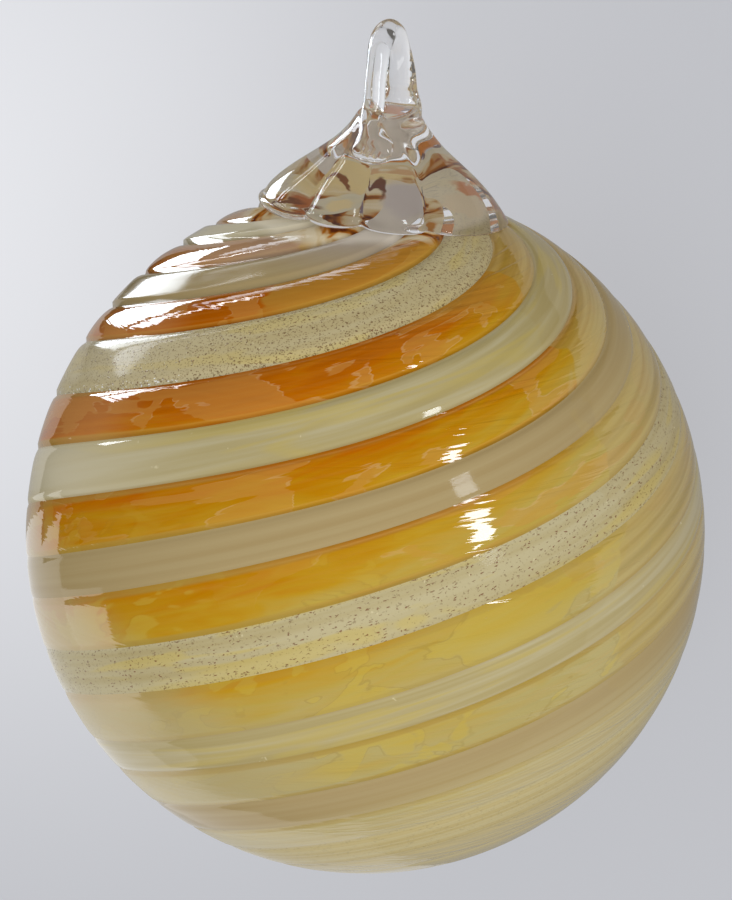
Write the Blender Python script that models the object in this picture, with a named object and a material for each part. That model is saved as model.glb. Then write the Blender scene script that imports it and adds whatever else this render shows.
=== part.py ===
"""Blown glass orb ornament with a clear glass hanger, lying on its side on a small flat spot.

Metres, +Z up. The origin is the middle of the flat spot. The ornament's axis runs along X through
the ball's centre, with the hanger at +X. Heights are distances along that axis from the ball's
centre. Bearings go round the axis, counted in degrees from the front meridian.
"""

import bmesh
import bpy
import numpy as np

# Ball
BALL_RADIUS = 0.0425
CROWN_STRETCH = 1.032  # the half towards the hanger is drawn out this much along the axis
FLAT_DEPTH = 0.0005
BALL_CENTRE = np.array([0.0, 0.0, BALL_RADIUS - FLAT_DEPTH])
FRONT_RISE = 68.0  # the front meridian stands this many degrees above -Y

# Bands: (glass, width in degrees along the front meridian), from the hanger down, for one turn
BANDS = (
    ("tan", 8.3), ("amber", 7.7), ("speckled", 10.5), ("amber", 8.8), ("pale", 8.5), ("amber", 8.3),
    ("tan", 6.7), ("amber", 9.2), ("speckled", 8.3), ("amber", 9.7), ("pale", 7.0), ("amber", 9.0),
)
TURN = sum(width for _, width in BANDS)  # the bands climb this many degrees in one turn
FIRST_BAND = 14.5  # where the first band starts on the front meridian, for the turn nearest the hanger
TWIST_LEAN = 2.8  # the axis of the twist leans this far off the hanger's, away from bearing 90
WANDER = (-1.3, 2.2)  # how far hand twisting pulls the bands off a true helix, high and low
WANDER_SPAN = (60.0, 100.0)
WANDER_STEPS = 6  # the wander depends on its own result, which settles in this many steps
RIB_DEPTH = (0.00064, 0.00010)  # depth of the grooves between bands, near the hanger and below
RIB_SPAN = (30.0, 95.0)
SMOOTH_CROWN = (11.0, 17.0)  # under the hanger the grooves die out between these angles
ROLL_LEAN = 1.3  # above 1, the crest of each band lies below its middle
ROUND_ROWS = (0.0, 0.2, 0.5, 0.8)  # rows across a rounded amber band
FLAT_ROWS = (0.0, 0.14, 0.86)  # rows across any other band, which is flatter
FLAT_CREST = 0.85
FLAT_SPREAD = 1.5  # above 1, a flat band reaches its crest short of its middle
BALL_COLUMNS = 48
POLE_RINGS = (7.0, 173.0)
RING_MARGIN = 0.7  # rows nearer than this to a pole ring are merged into it

# Hanger
GAP = 0.0003  # clearance between the hanger's underside and the ball
CONE = ((0.0033, 0.0544), (0.0052, 0.0500), (0.0118, 0.0477))  # (radius, height) down to the lip
CONE_TOP = 0.0546
CONE_ROWS = 9
CONE_COLUMNS = 60
NECK_STRETCH = (0.95, 1.75)  # the neck's section is narrow along Y and long along Z
NECK_SHARE = 0.45  # the cone is round again this far down
REACH = 0.0144  # mean radius of the foot
REACH_SWAY = (-0.0009, -0.0007, 0.0004)  # oval foot: shares of cos, cos of twice, and sin of the bearing
LIP = 0.0012  # height of the rounded lip above the ball
LIP_SWAY = 0.0009  # the lip is this much thicker at bearing -90 and thinner at 90
LIP_TUCK = 0.5  # the underside starts this share of the lip's height inside the foot's edge
LIP_BULGE = 0.00025  # the lip is rounded out this far between its top and the underside
CREASES = (-110.0, -48.0, -13.0, 27.0, 112.0, 178.0)  # bearings of the creases between the lobes
CREASE_WIDTH = 6.0  # degrees
CREASE_CUT = 0.0014  # how far the creases notch the foot's edge
CREASE_DROP = 0.0022  # how far they sink into the cone's slope
CREASE_RUN = (1.5, 0.3)  # powers by which that sinking grows below the neck and dies out at the lip
UNDERSIDE_RINGS = (0.72, 0.38)

# Loop: (height, Y, Z from the axis, half width along Y, half thickness) from its pressed-on end
LOOP = (
    (0.0497, -0.0012, 0.0077, 0.0014, 0.0005),
    (0.0502, -0.0012, 0.0076, 0.0023, 0.0011),
    (0.0512, -0.0011, 0.0070, 0.0026, 0.0014),
    (0.0522, -0.0007, 0.0064, 0.0018, 0.0014),
    (0.0532, -0.0003, 0.0057, 0.0014, 0.0014),
    (0.0545, 0.0, 0.0050, 0.0014, 0.0014),
    (0.0563, 0.0, 0.00445, 0.00135, 0.0013),
    (0.0584, 0.0001, 0.00415, 0.0013, 0.0013),
    (0.0604, 0.0001, 0.0038, 0.0013, 0.0013),
    (0.0620, 0.0002, 0.0032, 0.0014, 0.0014),
    (0.0632, 0.0003, 0.0022, 0.0015, 0.0015),
    (0.0638, 0.0004, 0.0011, 0.0015, 0.0015),
    (0.0640, 0.0004, 0.0, 0.0015, 0.0015),
    (0.0638, 0.0004, -0.0011, 0.0015, 0.0015),
    (0.0632, 0.0003, -0.0022, 0.0014, 0.0015),
    (0.0620, 0.0002, -0.0032, 0.0013, 0.0014),
    (0.0604, 0.0001, -0.0038, 0.0015, 0.0014),
    (0.0584, 0.0, -0.00415, 0.0018, 0.0014),
    (0.0563, 0.0, -0.00445, 0.0020, 0.0015),
    (0.0550, 0.0, -0.0047, 0.0023, 0.0018),
    (0.0535, 0.0, -0.0048, 0.0026, 0.0020),
    (0.0515, 0.0, -0.0038, 0.0026, 0.0020),
)
LOOP_SIDES = 12


def smooth_step(value, low, high):
    """0 below low, 1 above high, and a smooth climb between."""
    t = np.clip((value - low) / (high - low), 0.0, 1.0)
    return t * t * (3.0 - 2.0 * t)


def bearing_frame(lean):
    """The axis, leant by some degrees, the front direction and the direction of bearing 90."""
    rise, tilt = np.radians(FRONT_RISE), np.radians(lean)
    axis = np.array([1.0, 0.0, 0.0])
    front = np.array([0.0, -np.cos(rise), np.sin(rise)])
    side = np.cross(axis, front)
    leant_axis = np.cos(tilt) * axis - np.sin(tilt) * side
    return leant_axis, front, np.cross(leant_axis, front)


def on_ball(colatitude, bearing, depth):
    """Points a depth under the ball's surface, at angles in degrees in the twist's own frame."""
    axis, front, side = bearing_frame(TWIST_LEAN)
    theta, phi = np.radians(colatitude)[..., None], np.radians(bearing)[..., None]
    out = np.cos(theta) * axis + np.sin(theta) * (np.cos(phi) * front + np.sin(phi) * side)
    out[..., 0] *= np.where(out[..., 0] > 0.0, CROWN_STRETCH, 1.0)
    return BALL_CENTRE + (BALL_RADIUS - np.asarray(depth)[..., None]) * out


def ball_height(radius):
    """Height of the ball's smooth crown at a distance from the axis."""
    return CROWN_STRETCH * np.sqrt(BALL_RADIUS**2 - radius**2)


def band_rows():
    """One turn of rows: degrees below the first band, and how proud each stands, 0 to 1."""
    places, crests, start = [], [], 0.0
    for glass, width in BANDS:
        rounded = glass == "amber"
        for share in ROUND_ROWS if rounded else FLAT_ROWS:
            across = 2.0 * share**ROLL_LEAN - 1.0
            arch = np.sqrt(1.0 - across**2)
            places.append(start + share * width)
            crests.append(arch if rounded else FLAT_CREST * min(1.0, FLAT_SPREAD * arch))
        start += width
    return np.array(places), np.array(crests)


def band_colatitude(place, bearing):
    """Colatitude of a row: it falls evenly as the bearing grows, plus the wander of a hand-twisted band."""
    colatitude = place - TURN * bearing / 360.0
    for _ in range(WANDER_STEPS):
        wander = WANDER[0] + (WANDER[1] - WANDER[0]) * smooth_step(colatitude, *WANDER_SPAN)
        colatitude = place - TURN * bearing / 360.0 - wander * np.sin(np.radians(bearing))
    return colatitude


def groove_depth(colatitude, crest):
    """Depth under the ball's surface of a row that stands crest proud of its groove."""
    high, low = RIB_DEPTH
    depth = high + (low - high) * smooth_step(colatitude, *RIB_SPAN)
    return depth * smooth_step(colatitude, *SMOOTH_CROWN) * (1.0 - crest)


def fan(ring, pole, inward):
    """Triangles from a closed ring of vertex numbers to a pole, facing the other way if inward."""
    after = np.roll(ring, -1)
    faces = np.stack([np.full_like(ring, pole), ring, after], axis=-1)
    return (faces[:, ::-1] if inward else faces).tolist()


def mesh_object(name, points, faces):
    mesh = bpy.data.meshes.new(name)
    mesh.from_pydata(np.asarray(points).tolist(), [], faces)
    mesh.validate()
    mesh.shade_smooth()
    made = bpy.data.objects.new(name, mesh)
    bpy.context.scene.collection.objects.link(made)
    return made


def glass(name, colour, transmission, roughness):
    material = bpy.data.materials.new(name)
    material.use_nodes = True
    shader = material.node_tree.nodes["Principled BSDF"]
    shader.inputs["Base Color"].default_value = (*colour, 1.0)
    shader.inputs["Metallic"].default_value = 0.0
    shader.inputs["Roughness"].default_value = roughness
    shader.inputs["Transmission Weight"].default_value = transmission
    shader.inputs["IOR"].default_value = 1.5
    return material


def make_orb():
    """The ball as one strip of rows: after a turn, each row runs on as the row a turn below."""
    turn_places, turn_crests = band_rows()
    rows_per_turn = len(turn_places)
    turns = int(np.ceil((POLE_RINGS[1] + TURN - FIRST_BAND) / TURN)) + 1
    place = np.concatenate([FIRST_BAND + TURN * (n - 1) + turn_places for n in range(turns + 1)])
    crest = np.tile(turn_crests, turns + 1)
    bearing = np.arange(BALL_COLUMNS) * 360.0 / BALL_COLUMNS

    colatitude = band_colatitude(place[:, None], bearing[None, :])
    above = colatitude < POLE_RINGS[0] + RING_MARGIN
    below = colatitude > POLE_RINGS[1] - RING_MARGIN
    inside = ~(above | below)
    points = on_ball(colatitude, bearing[None, :], groove_depth(colatitude, crest[:, None]))[inside]
    level = np.zeros(BALL_COLUMNS)
    rings = [on_ball(level + ring, bearing, level) for ring in POLE_RINGS]
    poles = on_ball(np.array([0.0, 180.0]), np.zeros(2), np.zeros(2))

    top_ring = inside.sum() + np.arange(BALL_COLUMNS)
    bottom_ring = top_ring + BALL_COLUMNS
    number = np.zeros(colatitude.shape, int)
    number[inside] = np.arange(inside.sum())
    number = np.where(above, top_ring, np.where(below, bottom_ring, number))
    last = np.concatenate([np.full(rows_per_turn, top_ring[0]), number[:-rows_per_turn, 0]])
    number = np.column_stack([number, last])

    faces = []
    cells = np.stack([number[:-1, :-1], number[1:, :-1], number[1:, 1:], number[:-1, 1:]], axis=-1)
    for cell in cells.reshape(-1, 4).tolist():
        corners = list(dict.fromkeys(cell))
        if len(corners) > 2:
            faces.append(corners)
    top_pole = inside.sum() + 2 * BALL_COLUMNS
    faces += fan(top_ring, top_pole, inward=False) + fan(bottom_ring, top_pole + 1, inward=True)
    orb = mesh_object("orb", np.concatenate([points, *rings, poles]), faces)
    cut_flat_spot(orb)
    orb.data.materials.append(glass("striped_glass", (0.66, 0.42, 0.12), 0.3, 0.05))
    return orb


def cut_flat_spot(orb):
    """Cuts the ball off at the level Z = 0 and closes the cut with one flat face."""
    work = bmesh.new()
    work.from_mesh(orb.data)
    everything = work.verts[:] + work.edges[:] + work.faces[:]
    cut = bmesh.ops.bisect_plane(
        work, geom=everything, dist=1e-7, plane_co=(0, 0, 0), plane_no=(0, 0, -1), clear_outer=True
    )
    rim = [item for item in cut["geom_cut"] if isinstance(item, bmesh.types.BMEdge)]
    bmesh.ops.contextual_create(work, geom=rim)
    bmesh.ops.recalc_face_normals(work, faces=work.faces)
    work.to_mesh(orb.data)
    work.free()


def crease_share(bearing):
    """1 in the sharp middle of a crease between two lobes, falling off evenly to 0 on the lobes."""
    away = [np.abs((bearing - crease + 180.0) % 360.0 - 180.0) for crease in CREASES]
    return np.exp(-np.min(away, axis=0) / CREASE_WIDTH)


def cone_point(share, bearing):
    """(radius, height) on the cone's skin: a Bezier curve from neck to lip, with its foot lobed."""
    (r0, h0), (r1, h1), (r2, h2) = CONE
    turn = np.radians(bearing)
    crease = crease_share(bearing)
    once, twice, aside = REACH_SWAY
    r3 = REACH + once * np.cos(turn) + twice * np.cos(2 * turn) + aside * np.sin(turn)
    h3 = ball_height(r3) + LIP - LIP_SWAY * np.sin(turn)
    rest = 1.0 - share
    grow, fade = CREASE_RUN
    radius = rest**3 * r0 + 3 * rest**2 * share * r1 + 3 * rest * share**2 * r2 + share**3 * r3
    height = rest**3 * h0 + 3 * rest**2 * share * h1 + 3 * rest * share**2 * h2 + share**3 * h3
    return radius - crease * CREASE_CUT * share**2, height - crease * CREASE_DROP * share**grow * rest**fade


def around_axis(radius, height, bearing, stretch_y, stretch_z):
    """Points at a bearing round the hanger's axis, with the section stretched along Y and Z."""
    _, front, side = bearing_frame(0.0)
    turn = np.radians(bearing)[..., None]
    out = np.asarray(radius)[..., None] * (np.cos(turn) * front + np.sin(turn) * side)
    out[..., 0] = height
    out[..., 1] *= stretch_y
    out[..., 2] *= stretch_z
    return BALL_CENTRE + out


def make_hanger_foot():
    """The lobed foot and cone, closed below by a bowl that follows the ball."""
    bearing = np.arange(CONE_COLUMNS) * 360.0 / CONE_COLUMNS
    rings = []
    for share in np.linspace(0.0, 1.0, CONE_ROWS):
        radius, height = cone_point(np.full(CONE_COLUMNS, share), bearing)
        round_off = smooth_step(share, 0.0, NECK_SHARE)
        stretch = [1.0 + (neck - 1.0) * (1.0 - round_off) for neck in NECK_STRETCH]
        rings.append(around_axis(radius, height, bearing, *stretch))
    foot_radius, foot_height = cone_point(np.ones(CONE_COLUMNS), bearing)
    under = foot_radius - LIP_TUCK * (LIP - LIP_SWAY * np.sin(np.radians(bearing)))
    middle_radius = 0.5 * (foot_radius + under)
    middle_height = 0.5 * (foot_height + ball_height(under) + GAP)
    rings.append(around_axis(middle_radius + LIP_BULGE, middle_height, bearing, 1.0, 1.0))
    for share in (1.0, *UNDERSIDE_RINGS):
        rings.append(around_axis(share * under, ball_height(share * under) + GAP, bearing, 1.0, 1.0))
    points = np.concatenate([*rings, BALL_CENTRE + [[CONE_TOP, 0, 0], [ball_height(0.0) + GAP, 0, 0]]])
    number = np.arange(len(rings) * CONE_COLUMNS).reshape(len(rings), CONE_COLUMNS)
    after = np.roll(number, -1, axis=1)
    walls = np.stack([number[:-1], number[1:], after[1:], after[:-1]], axis=-1).reshape(-1, 4)
    faces = walls.tolist() + fan(number[0], number.size, inward=False)
    faces += fan(number[-1], number.size + 1, inward=True)
    return mesh_object("hanger", points, faces)


def make_loop():
    """The loop as an oval rod along its points, with its ends closed."""
    route = np.array(LOOP)
    centres = BALL_CENTRE + route[:, :3]
    along = np.gradient(centres, axis=0)
    along /= np.linalg.norm(along, axis=1, keepdims=True)
    across = np.array([0.0, 1.0, 0.0]) - along[:, 1:2] * along
    across /= np.linalg.norm(across, axis=1, keepdims=True)
    inward = np.cross(along, across)
    turn = np.arange(LOOP_SIDES) * 2.0 * np.pi / LOOP_SIDES
    wide = (route[:, 3:4] * np.cos(turn))[..., None] * across[:, None]
    thick = (route[:, 4:5] * np.sin(turn))[..., None] * inward[:, None]
    points = (centres[:, None] + wide + thick).reshape(-1, 3)
    number = np.arange(len(points)).reshape(len(route), LOOP_SIDES)
    after = np.roll(number, -1, axis=1)
    walls = np.stack([number[:-1], after[:-1], after[1:], number[1:]], axis=-1).reshape(-1, 4)
    ends = [number[0, ::-1].tolist(), number[-1].tolist()]
    return mesh_object("loop_shape", points, walls.tolist() + ends)


def make_hanger():
    """Foot and loop as one piece of clear glass."""
    hanger = make_hanger_foot()
    loop = make_loop()
    loop.hide_render = True
    loop.display_type = "WIRE"
    union = hanger.modifiers.new("loop", "BOOLEAN")
    union.operation = "UNION"
    union.solver = "EXACT"
    union.object = loop
    hanger.data.materials.append(glass("clear_glass", (0.95, 0.95, 0.94), 1.0, 0.02))
    return hanger


for old in list(bpy.data.objects):
    bpy.data.objects.remove(old)
make_orb()
make_hanger()
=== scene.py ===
"""The looks of a blown glass orb ornament that lies on its side: banded glass ball and clear glass hanger.

Metres, +Z up. Heights are distances along the ornament's axis, +X, from the ball's centre. Bearings go
round that axis, in degrees from the front meridian. Colatitudes are degrees from the hanger's end.
"""

import bpy
import numpy as np
from mathutils import Matrix, Vector


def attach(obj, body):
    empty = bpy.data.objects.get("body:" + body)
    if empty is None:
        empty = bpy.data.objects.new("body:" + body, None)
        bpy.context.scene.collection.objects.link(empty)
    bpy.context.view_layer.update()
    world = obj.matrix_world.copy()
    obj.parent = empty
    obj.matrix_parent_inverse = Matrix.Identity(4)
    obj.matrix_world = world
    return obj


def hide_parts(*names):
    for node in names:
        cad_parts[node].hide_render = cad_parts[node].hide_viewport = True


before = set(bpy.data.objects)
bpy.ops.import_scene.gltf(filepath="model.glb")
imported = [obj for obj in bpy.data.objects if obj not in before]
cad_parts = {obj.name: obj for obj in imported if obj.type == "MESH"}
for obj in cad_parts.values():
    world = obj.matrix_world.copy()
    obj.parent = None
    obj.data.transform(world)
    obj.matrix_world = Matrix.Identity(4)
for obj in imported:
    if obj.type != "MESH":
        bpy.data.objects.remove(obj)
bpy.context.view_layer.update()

# Ball
BALL_RADIUS = 0.0425
CROWN_STRETCH = 1.032  # the half towards the hanger is drawn out this much along the axis
FLAT_DEPTH = 0.0005
BALL_CENTRE = np.array([0.0, 0.0, BALL_RADIUS - FLAT_DEPTH])
FRONT_RISE = 68.0  # the front meridian stands this many degrees above -Y
POLISH = 0.00008  # the finished skin lies this far inside the solid

# Bands: (glass, width in degrees along the front meridian), from the hanger down, for one turn
BANDS = (
    ("tan", 8.3), ("amber", 7.7), ("speckled", 10.5), ("amber", 8.8), ("pale", 8.5), ("amber", 8.3),
    ("tan", 6.7), ("amber", 9.2), ("speckled", 8.3), ("amber", 9.7), ("pale", 7.0), ("amber", 9.0),
)
GLASSES = ("amber", "tan", "speckled", "pale")  # in the order of the ball's materials
TURN = sum(width for _, width in BANDS)  # the bands climb this many degrees in one turn
FIRST_BAND = 14.5  # where the first band starts on the front meridian, for the turn nearest the hanger
TWIST_LEAN = 2.8  # the axis of the twist leans this far off the hanger's, away from bearing 90
WANDER = (-1.3, 2.2)  # how far hand twisting pulls the bands off a true helix, high and low
WANDER_SPAN = (60.0, 100.0)
WANDER_STEPS = 6  # the wander depends on its own result, which settles in this many steps
RIB_DEPTH = (0.00064, 0.00014)  # depth of the grooves between bands, near the hanger and below
RIB_SPAN = (30.0, 95.0)
SMOOTH_CROWN = (11.0, 17.0)  # under the hanger the grooves die out between these angles
FLAT_CREST = 0.98  # how high the bands between the amber ones stand, as a share of the amber rolls
FLAT_SPREAD = 1.5  # above 1, such a band reaches its crest short of its middle
ROLL_LEAN = 1.3  # above 1, the crest of each roll lies below its middle
ROLL_POWER = (2.0, 4.0)  # amber rolls are elliptical near the hanger, and squarer past POWER_SPAN
POWER_SPAN = (50.0, 64.0)
BAND_ROWS = 12
BALL_COLUMNS = 360
POLE_RINGS = (1.5, 178.5)
RING_MARGIN = 0.3  # rows nearer than this to a pole ring are merged into it
RIDGE = 0.000006  # height of the long ridges that run along the bands
RIDGE_WAVES = ((2.3, 0.9, 0.4), (3.7, -1.7, 2.1), (5.1, 2.6, 4.4))  # waves per band, per turn, and a shift
RIDGE_SHIFT = 0.37  # turns that the ridges move on by from one band to the next
ALONG_UNIT = 100.0  # degrees of bearing in one unit of the UV map's way along a band
BAND_SHIFT = 11.0  # units that the patterns move on by from one band to the next
CURL = 1.2  # how far the flames in the glass curl
FUSED_SPAN = (19.5, 18.0)  # the hanger covers the ball from between these colatitudes up

# Hanger
SINK = 0.0003  # the hanger's underside lies this far inside the ball's skin, as fused glass does
CONE = ((0.0033, 0.0544), (0.0052, 0.0500), (0.0118, 0.0477))  # (radius, height) down to the lip
CONE_TOP = 0.0546
CONE_ROWS = 60
CONE_COLUMNS = 288
NECK_STRETCH = (0.95, 1.75)  # the neck's section is narrow along Y and long along Z
NECK_SHARE = 0.45  # the cone is round again this far down
REACH = 0.0144  # mean radius of the foot
REACH_SWAY = (-0.0009, -0.0007, 0.0004)  # oval foot: shares of cos, cos of twice, and sin of the bearing
LIP = 0.0012  # height of the rounded lip above the ball
LIP_SWAY = 0.0009  # the lip is this much thicker at bearing -90 and thinner at 90
LIP_ROWS = 8
LIP_TUCK = 0.5  # the underside starts this share of the lip's height inside the foot's edge
LIP_BULGE = 0.5  # the lip is rounded out by this share of its height
CREASES = (-110.0, -48.0, -13.0, 27.0, 112.0, 178.0)  # bearings of the creases between the lobes
CREASE_WIDTH = 6.0  # degrees
CREASE_CUT = 0.0014  # how far the creases notch the foot's edge
CREASE_DROP = 0.0022  # how far they sink into the cone's slope
CREASE_RUN = (1.5, 0.3)  # powers by which that sinking grows below the neck and dies out at the lip
RIPPLE = 0.00005  # height of the slow waves that the hot glass froze in
RIPPLE_WAVES = ((5, 0.5, 0.6), (-4, 0.9, 2.0), (7, -0.6, 4.1))  # waves round the cone, down it, and a shift
RIPPLE_FADES = ((0.1, 0.4), (1.0, 0.9))  # shares down the cone between which they die out, at either end
RIPPLE_OUT = 0.5  # they also move the skin outwards, by this share of their height
UNDERSIDE_RINGS = 24

# Loop: (height, Y, Z from the axis, half width along Y, half thickness) from its pressed-on end
LOOP = (
    (0.0497, -0.0012, 0.0077, 0.0014, 0.0005),
    (0.0502, -0.0012, 0.0076, 0.0023, 0.0011),
    (0.0512, -0.0011, 0.0070, 0.0026, 0.0014),
    (0.0522, -0.0007, 0.0064, 0.0018, 0.0014),
    (0.0532, -0.0003, 0.0057, 0.0014, 0.0014),
    (0.0545, 0.0, 0.0050, 0.0014, 0.0014),
    (0.0563, 0.0, 0.00445, 0.00135, 0.0013),
    (0.0584, 0.0001, 0.00415, 0.0013, 0.0013),
    (0.0604, 0.0001, 0.0038, 0.0013, 0.0013),
    (0.0620, 0.0002, 0.0032, 0.0014, 0.0014),
    (0.0632, 0.0003, 0.0022, 0.0015, 0.0015),
    (0.0638, 0.0004, 0.0011, 0.0015, 0.0015),
    (0.06396, 0.0004, 0.0, 0.0015, 0.0015),
    (0.0638, 0.0004, -0.0011, 0.0015, 0.0015),
    (0.0632, 0.0003, -0.0022, 0.0014, 0.0015),
    (0.0620, 0.0002, -0.0032, 0.0013, 0.0014),
    (0.0604, 0.0001, -0.0038, 0.0015, 0.0014),
    (0.0584, 0.0, -0.00415, 0.0018, 0.0014),
    (0.0563, 0.0, -0.00445, 0.0020, 0.0015),
    (0.0550, 0.0, -0.0047, 0.0023, 0.0018),
    (0.0535, 0.0, -0.0048, 0.0026, 0.0020),
    (0.0515, 0.0, -0.0038, 0.0026, 0.0020),
)
LOOP_SIDES = 48
LOOP_STEPS = 12  # rings between two points of the loop
FLUTES = 4  # shallow grooves along the loop's rod
FLUTE_DEPTH = 0.03  # as a share of the rod's half width
FLUTE_START = 0.5  # radians round the rod
MELT_VOXEL = 0.000175  # loop and foot are fused at this fineness
MELT_PASSES = 14
MELT_FACTOR = 0.5
PAD = (0.0508, -0.0012, 0.0084)  # from the ball's centre to the pad where the loop's end was dabbed on
PAD_REACH = 0.0016
WRINKLE = 0.00004
WRINKLE_LENGTHS = (0.0016, 0.0009)  # along the axis and along Y
WRINKLE_BENDS = (0.8, 1.5)  # radians by which the waves along each bend the others
WRINKLE_SHARES = (0.6, 1.0)  # how high the waves along each are

# Blots in the glass round the crown: the middle, in degrees towards the front and towards bearing 90, the
# half length along each, and the screen colour
BLOTS = (
    (0.0, -2.5, 5.0, 7.0, (224, 196, 138)),
    (7.6, -3.8, 1.9, 1.4, (230, 204, 150)),
    (5.0, -8.8, 2.5, 2.3, (178, 100, 52)),
    (9.3, -0.4, 2.0, 1.2, (132, 112, 122)),
    (6.8, 5.4, 4.9, 2.4, (200, 185, 174)),
    (-2.5, 4.5, 1.6, 1.4, (206, 160, 112)),
    (4.1, 14.4, 3.6, 3.2, (220, 198, 164)),
    (-10.7, 4.6, 3.0, 0.8, (205, 200, 195)),
    (-13.0, 3.2, 3.2, 2.2, (206, 124, 44)),
    (2.0, -2.35, 2.8, 0.28, (134, 74, 38)),
    (3.2, 2.9, 3.6, 0.28, (108, 58, 42)),
    (4.2, 9.3, 4.6, 0.25, (84, 66, 92)),
    (4.3, -12.0, 0.8, 2.6, (128, 76, 48)),
    (8.6, -8.4, 1.0, 2.8, (136, 80, 38)),
    (0.0, 15.6, 1.3, 4.0, (206, 140, 98)),
    (-1.4, 20.4, 1.6, 3.0, (170, 104, 70)),
    (11.9, 10.3, 1.6, 1.3, (196, 126, 46)),
    (-4.0, 6.8, 1.6, 0.7, (210, 146, 76)),
    (-5.8, 7.4, 1.3, 0.5, (150, 80, 48)),
    (-12.8, 5.4, 1.8, 0.8, (120, 90, 84)),
)
BLOT_BEND = (6.0, 1.6, 0.0)  # degrees between the furthest that the blots' edges stray either way

# Camera
VIEW_RISE = 16.5  # degrees that the camera looks down from square on to the axis
LENS = 190.0
FILM_WIDTH = 36.0
DISTANCE = 0.595
AIM_UP = 0.0105
AIM_RIGHT = 0.00009

# Stage: places are metres from the middle of the flat spot
FLOOR_HALF = 4.0
POOL_CENTRE = (0.023, 0.086, 0.0)  # the painted pool of light on the floor is brightest here
POOL_REACH = 0.125
FLOOR_GLOW = 0.9  # share of the floor's brightness that it gives off itself, a painted glow which keeps shadows faint
FILL_PLACE = (-0.18, -0.33, 0.94)
FILL_AIM = (0.0, 0.0, 0.04)
FILL_SIZE = (0.7, 0.7)
FILL_RADIANCE = 2.7
STRIP_ENDS = ((0.515, -0.705, 0.488), (0.115, -0.877, 0.455))  # directions from the ball's centre
STRIP_REACH = 0.55  # its distance from there
STRIP_SIZE = (0.066, 0.24)
STRIP_RADIANCE = 11.0
STRIP_COLOUR = (0.88, 0.94, 1.0)
PANEL_LIFT = 0.001
# Lights that lie on the floor: name, X, Y, size, lean of the long side towards +X, radiance and colour.
# They show in gloss, and only panel_far lights rough skins too. The dim ones named floor_ stand in for the
# floor itself, which gloss doesn't mirror.
PANELS = (
    ("panel_near", 0.066, 0.113, (0.046, 0.09), 0.42, 9.0, (0.84, 0.92, 1.0)),
    ("panel_far", 0.150, 0.320, (0.075, 0.29), 0.33, 8.0, (0.86, 0.92, 1.0)),
    ("panel_side", 0.122, 0.090, (0.026, 0.07), 0.1, 3.0, (0.82, 0.90, 1.0)),
    ("panel_last", 0.148, 0.088, (0.014, 0.07), 0.1, 1.6, (0.82, 0.90, 1.0)),
    ("panel_line", 0.205, 0.220, (0.030, 0.17), 0.0, 10.0, (0.95, 0.97, 1.0)),
    ("panel_low", 0.108, 0.042, (0.055, 0.022), 0.0, 2.6, (0.85, 0.92, 1.0)),
    ("floor_left", -0.322, 0.210, (0.556, 0.30), 0.0, 0.85, (1.0, 1.0, 1.0)),
    ("floor_limb", -0.034, 0.110, (0.020, 0.10), 0.0, 0.85, (1.0, 1.0, 1.0)),
    ("floor_edge", -0.001, 0.095, (0.046, 0.07), 0.0, 0.42, (1.0, 0.97, 0.92)),
    ("floor_middle", -0.315, 0.030, (0.57, 0.06), 0.0, 0.6, (1.0, 1.0, 1.0)),
    ("floor_low", -0.315, -0.150, (0.57, 0.30), 0.0, 0.32, (1.0, 0.98, 0.94)),
    ("floor_right", 0.020, -0.120, (0.10, 0.36), 0.0, 0.32, (1.0, 0.98, 0.94)),
)
CARDS = (  # pale upright cards that are mirrored low at the left: name, X, width, radiance
    ("card_near", -0.230, 0.20, 1.0),
    ("card_middle", -0.38, 0.10, 0.75),
    ("card_far", -0.52, 0.18, 0.45),
)
CARD_Y = 0.36
CARD_HEIGHT = 0.17
CARD_MIDDLE = 0.085  # above the floor
SKY_COLOUR = (0.9, 0.95, 1.0, 1.0)
SKY_STRENGTH = 0.62
DEGREES = float(np.degrees(1.0))  # in one radian


def smooth_step(value, low, high):
    """0 at low, 1 at high and a smooth climb between, also where low is the larger."""
    t = np.clip((value - low) / (high - low), 0.0, 1.0)
    return t * t * (3.0 - 2.0 * t)


def linear(red, green, blue):
    """A screen colour of 0 to 255 as the linear colour that shaders take."""
    share = np.array([red, green, blue]) / 255.0
    out = np.where(share <= 0.04045, share / 12.92, ((share + 0.055) / 1.055) ** 2.4)
    return (*out.tolist(), 1.0)


def bearing_frame(lean):
    """The axis leant by some degrees, the front direction and the direction of bearing 90."""
    rise, tilt = np.radians(FRONT_RISE), np.radians(lean)
    axis = np.array([1.0, 0.0, 0.0])
    front = np.array([0.0, -np.cos(rise), np.sin(rise)])
    side = np.cross(axis, front)
    leant_axis = np.cos(tilt) * axis - np.sin(tilt) * side
    return leant_axis, front, np.cross(leant_axis, front)


# ---------------------------------------------------------------- shapes


def on_ball(colatitude, bearing, depth):
    """Centre plus radius less depth, in the direction of the two angles, with the crown drawn out."""
    axis, front, side = bearing_frame(TWIST_LEAN)
    theta, phi = np.radians(colatitude)[..., None], np.radians(bearing)[..., None]
    out = np.cos(theta) * axis + np.sin(theta) * (np.cos(phi) * front + np.sin(phi) * side)
    out[..., 0] *= np.where(out[..., 0] > 0.0, CROWN_STRETCH, 1.0)
    points = BALL_CENTRE + (BALL_RADIUS - POLISH - np.asarray(depth)[..., None]) * out
    points[..., 2] = np.maximum(points[..., 2], 0.0)
    return points


def ball_height(radius):
    """Height of the ball's crown at a distance from the axis: a stretched circle."""
    return CROWN_STRETCH * np.sqrt(BALL_RADIUS**2 - radius**2)


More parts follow.
